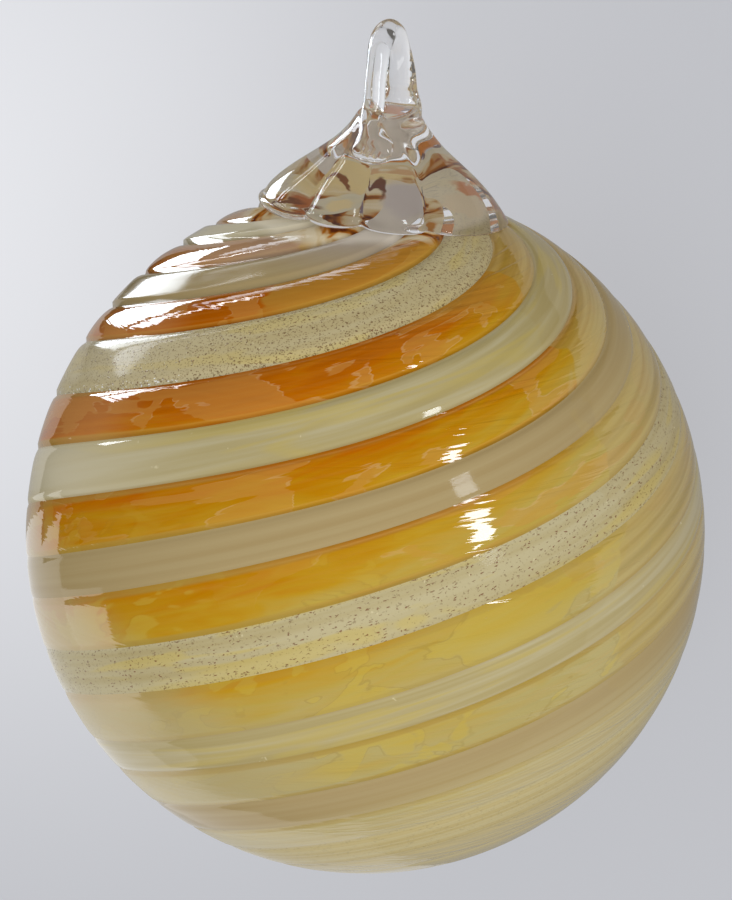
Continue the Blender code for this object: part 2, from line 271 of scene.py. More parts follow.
def band_rows(turns):
    """For each row of all turns: its place in degrees, its turn, its band's number and its share across."""
    starts = np.concatenate([[0.0], np.cumsum([width for _, width in BANDS])[:-1]])
    widths = np.array([width for _, width in BANDS])
    share = np.arange(BAND_ROWS) / BAND_ROWS
    turn_places = (starts[:, None] + widths[:, None] * share).ravel()
    turn = np.repeat(np.arange(turns), len(turn_places))
    place = np.tile(turn_places, turns) + FIRST_BAND + TURN * (turn - 1)
    band = np.tile(np.repeat(np.arange(len(BANDS)), BAND_ROWS), turns)
    return place, turn, band, np.tile(share, len(BANDS) * turns)


def band_colatitude(place, bearing):
    """Colatitude of a row: it falls evenly as the bearing grows, plus the wander of a hand-twisted band."""
    colatitude = place - TURN * bearing / 360.0
    for _ in range(WANDER_STEPS):
        wander = WANDER[0] + (WANDER[1] - WANDER[0]) * smooth_step(colatitude, *WANDER_SPAN)
        colatitude = place - TURN * bearing / 360.0 - wander * np.sin(np.radians(bearing))
    return colatitude


def rib_depth(colatitude, bearing, band, share, turn):
    """Depth of the skin: a superellipse across an amber roll, a flat arch across the rest, plus ridges."""
    across = 2.0 * share**ROLL_LEAN - 1.0
    arch = np.sqrt(1.0 - across**2)
    power = ROLL_POWER[0] + (ROLL_POWER[1] - ROLL_POWER[0]) * smooth_step(colatitude, *POWER_SPAN)
    roll = (1.0 - np.abs(across)**power)**(1.0 / power)
    amber = np.array([glass == "amber" for glass, _ in BANDS])[band]
    crest = np.where(amber, roll, FLAT_CREST * np.minimum(1.0, FLAT_SPREAD * arch))
    high, low = RIB_DEPTH
    depth = high + (low - high) * smooth_step(colatitude, *RIB_SPAN)
    depth = depth * smooth_step(colatitude, *SMOOTH_CROWN) * (1.0 - crest)
    along = bearing / 360.0 - turn + RIDGE_SHIFT * band
    waves = sum(np.sin(2 * np.pi * (a * share + b * along) + c) for a, b, c in RIDGE_WAVES)
    return depth + RIDGE * arch * (1.0 + waves / len(RIDGE_WAVES))


def mesh_piece(name, points, polygons, uvs=None, kinds=None):
    """A smooth mesh from points and lists of corners, with a UV pair a corner and a material a face."""
    mesh = bpy.data.meshes.new(name)
    mesh.from_pydata(points.tolist(), [], polygons)
    if uvs is not None:
        layer = mesh.uv_layers.new(name="lay")
        layer.data.foreach_set("uv", np.asarray(uvs, np.float32).ravel())
    if kinds is not None:
        mesh.polygons.foreach_set("material_index", np.asarray(kinds, np.int32))
    mesh.shade_smooth()
    mesh.update()
    made = bpy.data.objects.new(name, mesh)
    bpy.context.scene.collection.objects.link(made)
    return made


def make_ball():
    """Rows wound round the ball as one strip: after a turn, each row runs on as the row a turn below.

    A corner's UV pair is its way along the band, in hundreds of degrees, and its share across it.
    """
    turns = int(np.ceil((POLE_RINGS[1] + TURN - FIRST_BAND) / TURN)) + 2
    place, turn, band, share = (row[:, None] for row in band_rows(turns))
    bearing = (np.arange(BALL_COLUMNS) * 360.0 / BALL_COLUMNS)[None, :]
    colatitude = band_colatitude(place, bearing)
    above = colatitude < POLE_RINGS[0] + RING_MARGIN
    below = colatitude > POLE_RINGS[1] - RING_MARGIN
    inside = ~(above | below)
    points = on_ball(colatitude, bearing, rib_depth(colatitude, bearing, band, share, turn))[inside]
    level = np.zeros(BALL_COLUMNS)
    rings = [on_ball(level + ring, bearing[0], level) for ring in POLE_RINGS]
    poles = on_ball(np.array([0.0, 180.0]), np.zeros(2), np.zeros(2))

    top_ring = inside.sum() + np.arange(BALL_COLUMNS)
    number = np.zeros(colatitude.shape, int)
    number[inside] = np.arange(inside.sum())
    number = np.where(above, top_ring, np.where(below, top_ring + BALL_COLUMNS, number))
    rows_per_turn = len(BANDS) * BAND_ROWS
    last = np.concatenate([np.full(rows_per_turn, top_ring[0]), number[:-rows_per_turn, 0]])
    number = np.column_stack([number, last])

    cells = np.stack([number[:-1, :-1], number[1:, :-1], number[1:, 1:], number[:-1, 1:]], axis=-1)
    cells = cells.reshape(-1, 4)
    edges = np.arange(BALL_COLUMNS + 1)[None, :] * 360.0 / BALL_COLUMNS
    along = (edges - 360.0 * turn[:-1]) / ALONG_UNIT + BAND_SHIFT * band[:-1]
    near, far = share[:-1], share[:-1] + 1.0 / BAND_ROWS
    left, right = along[:, :-1], along[:, 1:]
    near, far = (np.broadcast_to(side, left.shape) for side in (near, far))
    uv = np.stack([left, near, left, far, right, far, right, near], axis=-1).reshape(-1, 4, 2)
    kind = np.array([GLASSES.index(glass) for glass, _ in BANDS])[band[:-1]]
    kind = np.broadcast_to(kind, left.shape).ravel()

    left_shut, right_shut = cells[:, 0] == cells[:, 1], cells[:, 2] == cells[:, 3]
    whole = ~(left_shut | right_shut)
    parts = (
        (whole, (0, 1, 2, 3)),
        (left_shut & ~right_shut, (1, 2, 3)),
        (right_shut & ~left_shut, (0, 1, 2)),
    )
    polygons, corner_uvs, kinds = [], [], []
    for chosen, corners in parts:
        polygons += cells[chosen][:, corners].tolist()
        corner_uvs.append(uv[chosen][:, corners].reshape(-1, 2))
        kinds.append(kind[chosen])
    pole = inside.sum() + 2 * BALL_COLUMNS
    after = np.roll(top_ring, -1)
    polygons += np.stack([np.full_like(after, pole), top_ring, after], axis=-1).tolist()
    polygons += (np.stack([after, top_ring, np.full_like(after, pole + 1)], axis=-1)
                 + [BALL_COLUMNS, BALL_COLUMNS, 0]).tolist()
    corner_uvs.append(np.full((6 * BALL_COLUMNS, 2), 0.5))
    kinds.append(np.full(2 * BALL_COLUMNS, GLASSES.index("pale")))
    return mesh_piece(
        "banded_ball", np.concatenate([points, *rings, poles]), polygons,
        np.concatenate(corner_uvs), np.concatenate(kinds),
    )


def crease_share(bearing):
    """1 in the sharp middle of a crease between two lobes, falling off evenly to 0 on the lobes."""
    away = [np.abs((bearing - crease + 180.0) % 360.0 - 180.0) for crease in CREASES]
    return np.exp(-np.min(away, axis=0) / CREASE_WIDTH)


def cone_point(share, bearing):
    """(radius, height) on the cone's skin: a Bezier curve from neck to lip, with its foot lobed."""
    (r0, h0), (r1, h1), (r2, h2) = CONE
    turn = np.radians(bearing)
    crease = crease_share(bearing)
    sway = REACH_SWAY[0] * np.cos(turn) + REACH_SWAY[1] * np.cos(2 * turn) + REACH_SWAY[2] * np.sin(turn)
    r3 = REACH + sway
    h3 = ball_height(r3) + LIP - LIP_SWAY * np.sin(turn)
    rest = 1.0 - share
    radius = rest**3 * r0 + 3 * rest**2 * share * r1 + 3 * rest * share**2 * r2 + share**3 * r3
    height = rest**3 * h0 + 3 * rest**2 * share * h1 + 3 * rest * share**2 * h2 + share**3 * h3
    waves = sum(np.sin(a * turn + 2 * np.pi * b * share + c) for a, b, c in RIPPLE_WAVES)
    swell = RIPPLE * waves * smooth_step(share, *RIPPLE_FADES[0]) * smooth_step(share, *RIPPLE_FADES[1])
    grow, end = CREASE_RUN
    radius = radius - crease * CREASE_CUT * share**2 + RIPPLE_OUT * swell
    return radius, height - crease * CREASE_DROP * share**grow * rest**end + swell


def around_axis(radius, height, bearing, stretch_y, stretch_z):
    """Points at a bearing round the hanger's axis, with the section stretched along Y and Z."""
    _, front, side = bearing_frame(0.0)
    turn = np.radians(bearing)[..., None]
    out = np.asarray(radius)[..., None] * (np.cos(turn) * front + np.sin(turn) * side)
    out[..., 0] = height
    out[..., 1] *= stretch_y
    out[..., 2] *= stretch_z
    return BALL_CENTRE + out


def ring_faces(number):
    """Quads between rings of vertex numbers, with the first ring on the outside's upper end."""
    after = np.roll(number, -1, axis=1)
    return np.stack([number[:-1], number[1:], after[1:], after[:-1]], axis=-1).reshape(-1, 4).tolist()


def foot_shape():
    """Rings down the cone, round the lip by a half circle and back under the foot to the axis."""
    bearing = np.arange(CONE_COLUMNS) * 360.0 / CONE_COLUMNS
    rings = []
    for share in np.linspace(0.0, 1.0, CONE_ROWS):
        radius, height = cone_point(np.full(CONE_COLUMNS, share), bearing)
        round_off = smooth_step(share, 0.0, NECK_SHARE)
        stretch = [1.0 + (neck - 1.0) * (1.0 - round_off) for neck in NECK_STRETCH]
        rings.append(around_axis(radius, height, bearing, *stretch))
    foot_radius, foot_height = cone_point(np.ones(CONE_COLUMNS), bearing)
    under = foot_radius - LIP_TUCK * (LIP - LIP_SWAY * np.sin(np.radians(bearing)))
    under_height = ball_height(under) - SINK
    for turn in np.linspace(0.0, np.pi, LIP_ROWS)[1:-1]:
        middle_radius, middle_height = 0.5 * (foot_radius + under), 0.5 * (foot_height + under_height)
        half_radius, half_height = foot_radius - middle_radius, foot_height - middle_height
        bulge = LIP_BULGE * (foot_height - under_height) * np.sin(turn)
        rings.append(around_axis(
            middle_radius + half_radius * np.cos(turn) + bulge,
            middle_height + half_height * np.cos(turn), bearing, 1.0, 1.0))
    for share in np.linspace(1.0, 0.0, UNDERSIDE_RINGS)[:-1]:
        rings.append(around_axis(share * under, ball_height(share * under) - SINK, bearing, 1.0, 1.0))
    points = np.concatenate([*rings, BALL_CENTRE + [[CONE_TOP, 0, 0], [ball_height(0.0) - SINK, 0, 0]]])
    number = np.arange(len(rings) * CONE_COLUMNS).reshape(len(rings), CONE_COLUMNS)
    top = np.stack([np.full(CONE_COLUMNS, number.size), number[0], np.roll(number[0], -1)], axis=-1)
    low = np.stack([np.roll(number[-1], -1), number[-1], np.full(CONE_COLUMNS, number.size + 1)], axis=-1)
    return points, ring_faces(number) + top.tolist() + low.tolist()


def smooth_path(points, steps):
    """A Catmull-Rom curve through the points, with some steps between each two."""
    padded = np.concatenate([2 * points[:1] - points[1:2], points, 2 * points[-1:] - points[-2:-1]])
    before, start, end, after = (padded[k:len(padded) - 3 + k, None] for k in range(4))
    t = (np.arange(steps) / steps)[None, :, None]
    curve = 0.5 * (
        2 * start + (end - before) * t + (2 * before - 5 * start + 4 * end - after) * t**2
        + (3 * start - before - 3 * end + after) * t**3
    )
    return np.concatenate([curve.reshape(-1, points.shape[1]), points[-1:]])


def loop_shape():
    """An oval rod carried along the smooth path of the loop, with its ends closed."""
    route = smooth_path(np.array(LOOP), LOOP_STEPS)
    centres = BALL_CENTRE + route[:, :3]
    along = np.gradient(centres, axis=0)
    along /= np.linalg.norm(along, axis=1, keepdims=True)
    across = np.array([0.0, 1.0, 0.0]) - along[:, 1:2] * along
    across /= np.linalg.norm(across, axis=1, keepdims=True)
    inward = np.cross(along, across)
    turn = np.arange(LOOP_SIDES) * 2.0 * np.pi / LOOP_SIDES
    fluted = 1.0 + FLUTE_DEPTH * np.cos(FLUTES * turn + FLUTE_START)
    wide = (route[:, 3:4] * np.cos(turn) * fluted)[..., None] * across[:, None]
    thick = (route[:, 4:5] * np.sin(turn) * fluted)[..., None] * inward[:, None]
    points = (centres[:, None] + wide + thick).reshape(-1, 3)
    number = np.arange(len(points)).reshape(len(route), LOOP_SIDES)
    after = np.roll(number, -1, axis=1)
    walls = np.stack([number[:-1], after[:-1], after[1:], number[1:]], axis=-1).reshape(-1, 4).tolist()
    return points, walls + [number[0, ::-1].tolist(), number[-1].tolist()]


def wrinkle(mesh):
    """Presses waves into the pad: sines along the axis and along Y, each bent by the other."""
    points, normals = (np.empty(3 * len(mesh.vertices), np.float32) for _ in range(2))
    mesh.vertices.foreach_get("co", points)
    mesh.vertices.foreach_get("normal", normals)
    away = points.reshape(-1, 3) - (BALL_CENTRE + PAD)
    near = np.exp(-((away**2).sum(axis=1) / PAD_REACH**2) ** 2)
    along, across = (away[:, axis] * 2.0 * np.pi / length for axis, length in enumerate(WRINKLE_LENGTHS))
    waves = (WRINKLE_SHARES[1] * np.sin(across + WRINKLE_BENDS[1] * np.sin(along))
             + WRINKLE_SHARES[0] * np.sin(along + WRINKLE_BENDS[0] * np.sin(across)))
    points += ((WRINKLE * near * waves)[:, None] * normals.reshape(-1, 3)).ravel()
    mesh.vertices.foreach_set("co", points)


def make_hanger():
    """Foot and loop melted into one skin."""
    foot_points, foot_faces = foot_shape()
    loop_points, loop_faces = loop_shape()
    shifted = [[corner + len(foot_points) for corner in face] for face in loop_faces]
    hanger = mesh_piece("clear_hanger", np.concatenate([foot_points, loop_points]), foot_faces + shifted)
    melt = hanger.modifiers.new("melt", "REMESH")
    melt.mode = "VOXEL"
    melt.voxel_size = MELT_VOXEL
    melt.use_smooth_shade = True
    settle = hanger.modifiers.new("settle", "SMOOTH")
    settle.factor = MELT_FACTOR
    settle.iterations = MELT_PASSES
    graph = bpy.context.evaluated_depsgraph_get()
    melted = bpy.data.meshes.new_from_object(hanger.evaluated_get(graph))
    hanger.modifiers.clear()
    hanger.data = melted
    wrinkle(melted)
    melted.shade_smooth()
    return hanger


# ---------------------------------------------------------------- materials


class Number:
    """A shader value that works in Python sums, each of which adds its Math node."""

    def __init__(self, graph, socket):
        self.graph, self.socket = graph, socket

    def math(self, operation, *others):
        return self.graph.add("Math", {"operation": operation}, dict(enumerate((self, *others))))

    def __add__(self, other):
        return self.math("ADD", other)

    def __sub__(self, other):
        return self.math("SUBTRACT", other)

    def __rsub__(self, other):
        return self.graph.add("Math", {"operation": "SUBTRACT"}, {0: other, 1: self})

    def __mul__(self, other):
        return self.math("MULTIPLY", other)

    def __truediv__(self, other):
        return self.math("DIVIDE", other)

    def __abs__(self):
        return self.math("ABSOLUTE")

    __radd__ = __add__
    __rmul__ = __mul__

    def step(self, low, high):
        """0 at low, 1 at high and a smooth climb between, also where low is the larger."""
        made = {"Value": self, "From Min": low, "From Max": high}
        return self.graph.add("MapRange", {"interpolation_type": "SMOOTHSTEP"}, made)


class Graph:
    """The nodes of one material."""

    def __init__(self, name):
        self.material = bpy.data.materials.new(name)
        self.material.use_nodes = True
        self.tree = self.material.node_tree
        self.tree.nodes.clear()

    def add(self, kind, settings=None, inputs=None, output=0):
        """One node: its settings first, a ramp's stops among them, then its sockets' values or links."""
        made = self.tree.nodes.new("ShaderNode" + kind)
        for name, value in (settings or {}).items():
            if name == "stops":
                while len(made.color_ramp.elements) < len(value):
                    made.color_ramp.elements.new(1.0)
                for element, (place, colour) in zip(made.color_ramp.elements, value):
                    element.position, element.color = place, colour
            else:
                setattr(made, name, value)
        for name, value in (inputs or {}).items():
            if isinstance(value, Number):
                self.tree.links.new(value.socket, made.inputs[name])
            else:
                made.inputs[name].default_value = value
        return Number(self, made.outputs[output]) if made.outputs else None

    def mix(self, share, first, second):
        """The first colour at share 0 and the second at 1."""
        return self.add("Mix", {"data_type": "RGBA"}, {0: share, 6: first, 7: second}, 2)

    def ramp(self, share, stops):
        """A colour read from stops of (place, (red, green, blue)) in screen colours."""
        stops = [(place, linear(*colour)) for place, colour in stops]
        return self.add("ValToRGB", {"stops": stops}, {"Fac": share})

    def vector(self, x, y, z):
        return self.add("CombineXYZ", inputs={0: x, 1: y, 2: z})

    def noise(self, vector, scale=1.0, detail=2.0, roughness=0.5, distortion=0.0):
        return self.add("TexNoise", inputs={
            "Vector": vector, "Scale": scale, "Detail": detail, "Roughness": roughness,
            "Distortion": distortion,
        })

    def finish(self, shader):
        self.add("OutputMaterial", inputs={"Surface": shader})
        return self.material


class BandPlace:
    """Where a point of the ball lies: along and across its band, its colatitude and its bearing.

    Behind, the bearing runs back from 90 to 0, so that no seam shows there.
    """

    def __init__(self, graph):
        lay = graph.add("UVMap", {"uv_map": "lay"})
        self.along = graph.add("SeparateXYZ", inputs={0: lay}, output=0)
        self.across = graph.add("SeparateXYZ", inputs={0: lay}, output=1)
        self.point = graph.add("TexCoord", output=3)
        out = graph.add("VectorMath", {"operation": "SUBTRACT"}, {0: self.point, 1: BALL_CENTRE.tolist()})
        out = graph.add("VectorMath", {"operation": "NORMALIZE"}, {0: out})
        height, front, side = (
            graph.add("VectorMath", {"operation": "DOT_PRODUCT"}, {0: out, 1: direction.tolist()}, 1)
            for direction in bearing_frame(TWIST_LEAN)
        )
        self.front, self.side = front, side
        self.colatitude = height.math("ARCCOSINE") * DEGREES
        self.sway = side.math("ARCTAN2", front).math("SINE")
        self.bearing = self.sway.math("ARCSINE") * DEGREES
        self.edge = abs(self.across * 2.0 - 1.0)

    def grain(self, graph, along, across, seed, detail):
        """Noise drawn out along the band: wide cells along it and narrow ones across it."""
        return graph.noise(graph.vector(self.along * along, self.across * across, seed), detail=detail)

    def cells(self, graph, size):
        """The point, counted in cells of a size in metres."""
        return graph.add("VectorMath", {"operation": "SCALE"}, {0: self.point, "Scale": 1.0 / size})

    def flame(self, graph, along, across, seed, lean=0.0):
        """Grain that curls, as stirred glass does, and with a lean crosses the band aslant."""
        down = self.across * across
        if lean:
            down = down - self.along * lean
        return graph.noise(graph.vector(self.along * along, down, seed), distortion=CURL)


def banded_shader(graph, place, colour, roughness, height, depth, ior):
    """Glossy glass over colour, with the height pattern pressed into it to a depth in metres.

    Under the hanger the two glasses are fused, and no skin lies between them that could mirror.
    """
    normal = graph.add("Bump", inputs={"Strength": 1.0, "Distance": depth, "Height": height})
    inputs = {"Base Color": colour, "Roughness": roughness, "IOR": ior, "Normal": normal}
    open_skin = graph.add("BsdfPrincipled", inputs=inputs)
    inputs = {"Base Color": colour, "Roughness": 1.0, "Specular IOR Level": 0.0}
    fused_skin = graph.add("BsdfPrincipled", inputs=inputs)
    fused = place.colatitude.step(*FUSED_SPAN)
    return graph.finish(graph.add("MixShader", inputs={0: fused, 1: open_skin, 2: fused_skin}))


def washed(graph, place, colour):
    """Towards the far end all glasses run out into fine pale and straw lines."""
    share = (place.colatitude + place.sway * 24.0).step(118.0, 134.0)
    lines = place.grain(graph, 0.5, 14.0, 3.3, 4.0)
    far = graph.ramp(lines, ((0.3, (184, 163, 107)), (0.5, (191, 172, 121)), (0.68, (195, 180, 134))))
    return graph.mix(share, colour, far)


def painted_limb_light(graph, place, colour, most):
    """Painted light: past bearing 45 the colour is painted paler towards the right limb, where the glass is
    lit from behind, from a torn edge on; olive and gold threads show.
    """
    edge = place.bearing + (place.flame(graph, 7.0, 0.8, 2.4) - 0.5) * 26.0
    share = (place.bearing.step(46.0, 80.0) * 0.35 + edge.step(45.0, 46.5) * 0.65) * most
    threads = place.grain(graph, 0.9, 4.0, 8.8, 3.0)
    pale = graph.ramp(threads, ((0.36, (162, 132, 60)), (0.5, (178, 148, 82)), (0.62, (192, 166, 100))))
    return graph.mix(share, colour, pale)


def crowned(graph, place, colour):
    """Under the hanger the amber is drawn out into brown curls in cream glass; the cream is painted light,
    brighter to make up for the light that the clear hanger keeps off.
    """
    curl = graph.noise(place.point, 190.0, 2.0, 0.5, 1.6)
    stirred = graph.ramp(curl, (
        (0.40, (222, 202, 166)), (0.52, (206, 176, 128)), (0.58, (176, 104, 30)), (0.66, (96, 44, 22)),
    ))
    return graph.mix(place.colatitude.step(21.5, 19.0), colour, stirred)


def painted_light_under_hanger(graph, place, colour):
    """Painted light: the glass that the hanger covers is painted paler, to make up for the light that the
    clear hanger keeps off it.
    """
    return graph.mix(place.colatitude.step(20.5, 18.0) * 0.45, colour, linear(250, 236, 214))


def blotted(graph, place, colour):
    """Round the crown: brown, amber and cream blots, each an ellipse with a strayed edge."""
    at = graph.vector(place.front * DEGREES, place.side * DEGREES, 0.0)
    bend = graph.add("TexNoise", inputs={"Vector": place.point, "Scale": 420.0, "Detail": 3.0}, output=1)
    bend = graph.add("VectorMath", {"operation": "SUBTRACT"}, {0: bend, 1: (0.5, 0.5, 0.5)})
    at = graph.add("VectorMath", {"operation": "MULTIPLY_ADD"}, {0: bend, 1: BLOT_BEND, 2: at})
    for front, side, deep, wide, screen in BLOTS:
        inside = {"Vector": at, "Location": (front, side, 0.0), "Scale": (deep, wide, 1.0)}
        inside = graph.add("Mapping", {"vector_type": "TEXTURE"}, inside)
        away = graph.add("VectorMath", {"operation": "LENGTH"}, {0: inside}, 1)
        colour = graph.mix(away.step(1.2, 0.75) * 0.95, colour, linear(*screen))
    return colour


def flecks(graph, cells, radius, wanted, seed):
    """Ragged specks of a radius in cells, one in each cell with a chance that is wanted."""
    jitter = graph.noise(cells, 1.3, 1.0)
    other = graph.noise(cells, 1.9, 1.0)
    shift = graph.vector((jitter - 0.5) * 1.6 + seed, (other - 0.5) * 1.6, jitter)
    at = {"Vector": graph.add("VectorMath", {"operation": "ADD"}, {0: cells, 1: shift}), "Scale": 1.0}
    near = graph.add("TexVoronoi", inputs=at)
    chance = graph.add("SeparateXYZ", inputs={0: graph.add("TexVoronoi", inputs=at, output=1)})
    return near.step(radius + 0.06, radius - 0.04) * (wanted - chance).step(0.0, 0.03)


def bubbles_with_painted_glints(graph, place, colour):
    """A few pinhead bubbles, as pale specks that are partly the bubbles and partly painted glints."""
    bubbles = flecks(graph, place.cells(graph, 0.0021), 0.075, 0.16, 0.3)
    return graph.mix(bubbles * 0.5, colour, linear(226, 212, 170))


def edged(graph, place, colour):
    """Lines pulled along an amber band's edges: brown, rose and gold above, gold and brown below."""
    drift = place.grain(graph, 1.1, 0.0, 12.7, 3.0)
    across = place.across + (drift - 0.5) * 0.12
    lines = graph.ramp(across, (
        (0.02, (146, 82, 20)), (0.05, (172, 94, 30)), (0.08, (196, 136, 70)), (0.12, (170, 100, 30)),
        (0.89, (180, 116, 22)), (0.92, (206, 152, 64)), (0.95, (182, 118, 30)), (0.98, (138, 86, 20)),
    ))
    low = (place.colatitude + abs(place.bearing) * 0.4).step(62.0, 98.0)
    lines = graph.mix(low * 0.85, lines, linear(170, 144, 70))
    share = (across.step(0.15, 0.09) + across.step(0.88, 0.93)) * (drift.step(0.25, 0.7) * 0.6 + 0.15)
    return graph.mix(share, colour, lines)


def faded_amber(graph, place, broad, flame, fine):
    """Orange-brown near the hanger, then golden, then straw: paler downwards, and painted paler to the
    right as painted light shining through.
    """
    backlit_right = place.bearing.math("MAXIMUM", 0.0)
    # painted light: the bearing terms pale the amber to the right, where it is lit from behind
    fade = (place.colatitude - 33.0) / 85.0 + place.bearing * 0.0048 + backlit_right * 0.003
    fade = fade + (place.across - 0.5) * 0.16
    fade = fade + (broad - 0.5) * 0.55 + (flame - 0.5) * 0.4
    colour = graph.ramp(fade, (
        (0.0, (176, 88, 1)), (0.16, (190, 102, 2)), (0.34, (190, 128, 8)), (0.52, (192, 146, 32)),
        (0.74, (188, 160, 74)), (1.0, (184, 166, 104)),
    ))
    return graph.mix((fine - 0.42) * 0.5, colour, linear(206, 150, 66))


def torn_sheets(graph, place, colour, flame, fine, share):
    """Paler sheets with torn edges, some of them with a light seam."""
    torn = place.flame(graph, 4.4, 1.0, 5.5) + (fine - 0.5) * 0.12
    colour = graph.mix(torn.step(0.53, 0.542) * share * 0.4, colour, linear(204, 146, 70))
    seam = torn.step(0.521, 0.529) * torn.step(0.545, 0.537) * flame.step(0.46, 0.56)
    return graph.mix(seam * share * 0.4, colour, linear(216, 172, 116))


def yellow_curls(graph, place, colour, broad, fine, share):
    """Yellow curls, some of them with a dark outline."""
    curl = place.flame(graph, 7.5, 1.3, 3.9) + (fine - 0.5) * 0.08
    colour = graph.mix(curl.step(0.52, 0.56) * share * 0.4, colour, linear(200, 172, 68))
    line = curl.step(0.505, 0.515) * curl.step(0.535, 0.525) * broad.step(0.42, 0.56)
    return graph.mix(line * share * 0.22, colour, linear(146, 118, 48))


def painted_amber_reflections(graph, place, colour, flame):
    """Painted reflections: the amber is painted paler where it mirrors pale light, by the hanger and at the
    left, each patch at its own height.
    """
    # painted reflection: a pale lustre on the first amber band at the upper left
    first = place.colatitude.step(33.0, 28.0) * place.bearing.step(-22.0, -34.0)
    colour = graph.mix(first * 0.75, colour, linear(184, 157, 128))
    # painted reflection: a paler veil right of bearing -30 on the first amber band
    painted_veil = (place.bearing + (flame - 0.5) * 8.0).step(-31.0, -29.0) * place.colatitude.step(39.0, 34.0)
    colour = graph.mix(painted_veil * 0.5, colour, linear(188, 150, 62))
    # painted reflection: a pale veil on the amber at the left
    painted_left_veil = place.bearing.step(-45.0, -60.0) * place.colatitude.step(73.0, 66.0)
    return graph.mix(painted_left_veil * 0.35, colour, linear(212, 156, 100))


def amber_glass():
    """Clear amber over a pale core, with torn sheets near the hanger and curls lower down."""
    graph = Graph("amber_glass")
    place = BandPlace(graph)
    broad = place.grain(graph, 2.4, 1.4, 8.1, 3.0)
    flame = place.flame(graph, 6.0, 2.6, 1.7)
    fine = place.grain(graph, 3.0, 11.0, 2.2, 3.0)
    lower = place.colatitude.step(66.0, 90.0)
    colour = faded_amber(graph, place, broad, flame, fine)
    colour = torn_sheets(graph, place, colour, flame, fine, 1.0 - lower)
    colour = yellow_curls(graph, place, colour, broad, fine, lower)
    straw = (place.colatitude - place.bearing * 0.5).step(110.0, 125.0) * place.bearing.step(20.0, -20.0)
    colour = graph.mix(straw * 0.6, colour, linear(182, 166, 122))
    colour = edged(graph, place, colour)
    colour = painted_amber_reflections(graph, place, colour, flame)
    colour = painted_limb_light(graph, place, colour, 0.85)
    colour = crowned(graph, place, colour)
    colour = blotted(graph, place, colour)
    colour = washed(graph, place, colour)
    leftward = place.bearing.step(15.0, -30.0)
    ridges = place.flame(graph, 2.6, 4.2, 5.9, 11.0) * (1.0 - leftward * 0.75)
    dulled = leftward * place.colatitude.step(100.0, 112.0) * 0.22 + 0.04
    return banded_shader(graph, place, colour, dulled, ridges, 0.00022, 1.8)


def tan_glass():
    """Opaque tan, greyer under the hanger."""
    graph = Graph("tan_glass")
    place = BandPlace(graph)
    streak = place.grain(graph, 0.8, 5.0, 2.9, 3.0)
    colour = graph.ramp(streak, ((0.35, (166, 142, 97)), (0.65, (173, 151, 107))))
    crown = place.colatitude.step(30.0, 14.0)
    colour = graph.mix(crown, colour, linear(170, 154, 140))
    colour = painted_limb_light(graph, place, colour, 0.2)
    colour = painted_light_under_hanger(graph, place, colour)
    colour = blotted(graph, place, colour)
    colour = washed(graph, place, colour)
    dulled = place.colatitude.step(52.0, 42.0) * 0.07 + 0.07
    return banded_shader(graph, place, colour, dulled, streak, 0.00001, 1.32)


def pale_glass():
    """Milky straw-cream with faint white and yellow streaks drawn along the band, and a painted reflection
    at the left.
    """
    graph = Graph("pale_glass")
    place = BandPlace(graph)
    streak = place.flame(graph, 1.6, 3.0, 4.1) * 0.8 + place.grain(graph, 0.9, 12.0, 7.7, 3.0) * 0.2
    colour = graph.ramp(streak, ((0.38, (174, 156, 106)), (0.5, (180, 163, 116)), (0.62, (187, 173, 133))))
    yellow = place.flame(graph, 1.8, 1.6, 6.6).step(0.52, 0.64) * 0.5
    colour = graph.mix(yellow, colour, linear(194, 170, 86))
    # painted reflection: a milky pale sheen on the upper bands at the left
    painted_left_reflection = place.bearing.step(-25.0, -75.0) * place.colatitude.step(84.0, 72.0)
    colour = graph.mix(painted_left_reflection * 0.75, colour, linear(220, 207, 176))
    rim = place.edge.step(0.88, 1.0) * 0.35
    colour = graph.mix(rim, colour, linear(160, 128, 70))
    colour = painted_limb_light(graph, place, colour, 0.2)
    colour = bubbles_with_painted_glints(graph, place, colour)
    colour = painted_light_under_hanger(graph, place, colour)
    colour = blotted(graph, place, colour)
    colour = washed(graph, place, colour)
    return banded_shader(graph, place, colour, 0.06, streak, 0.000012, 1.55)


def peppered(graph, place, colour, border, upper):
    """Brown powder, dust and dashes, painted white glints at the upper left, and the coarse ones' relief.
    """
    heavy = place.across.step(0.6, 0.95) * upper
    wanted = 0.2 + upper * 0.4 + border * 0.2
    powder = flecks(graph, place.cells(graph, 0.00026), 0.36, wanted, 0.0)
    wanted = 0.1 + upper * 0.38 + border * 0.25 + heavy * 0.35
    dust = flecks(graph, place.cells(graph, 0.00048), 0.26, wanted, 0.7)
    strokes = graph.vector(place.along * 90.0, place.across * 19.0, 0.0)
    dashes = flecks(graph, strokes, 0.2, 0.75 + border * 0.25 - upper * 0.65, 0.5)
    # painted highlights: white glints along the band's edges at the upper left
    glint_place = place.edge.step(0.72, 0.86) * place.bearing.step(-38.0, -50.0) * upper
    painted_glints = flecks(graph, place.cells(graph, 0.00036), 0.3, glint_place * 0.7, 1.9)
    colour = graph.mix(powder * (upper * 0.3 + 0.3), colour, linear(116, 86, 50))
    colour = graph.mix(dust * (upper * 0.3 + 0.4), colour, linear(104, 70, 40))
    colour = graph.mix(dashes * 0.75, colour, linear(120, 62, 38))
    colour = graph.mix(painted_glints * 0.85, colour, linear(250, 250, 248))
    return colour, dashes + dust * 0.6


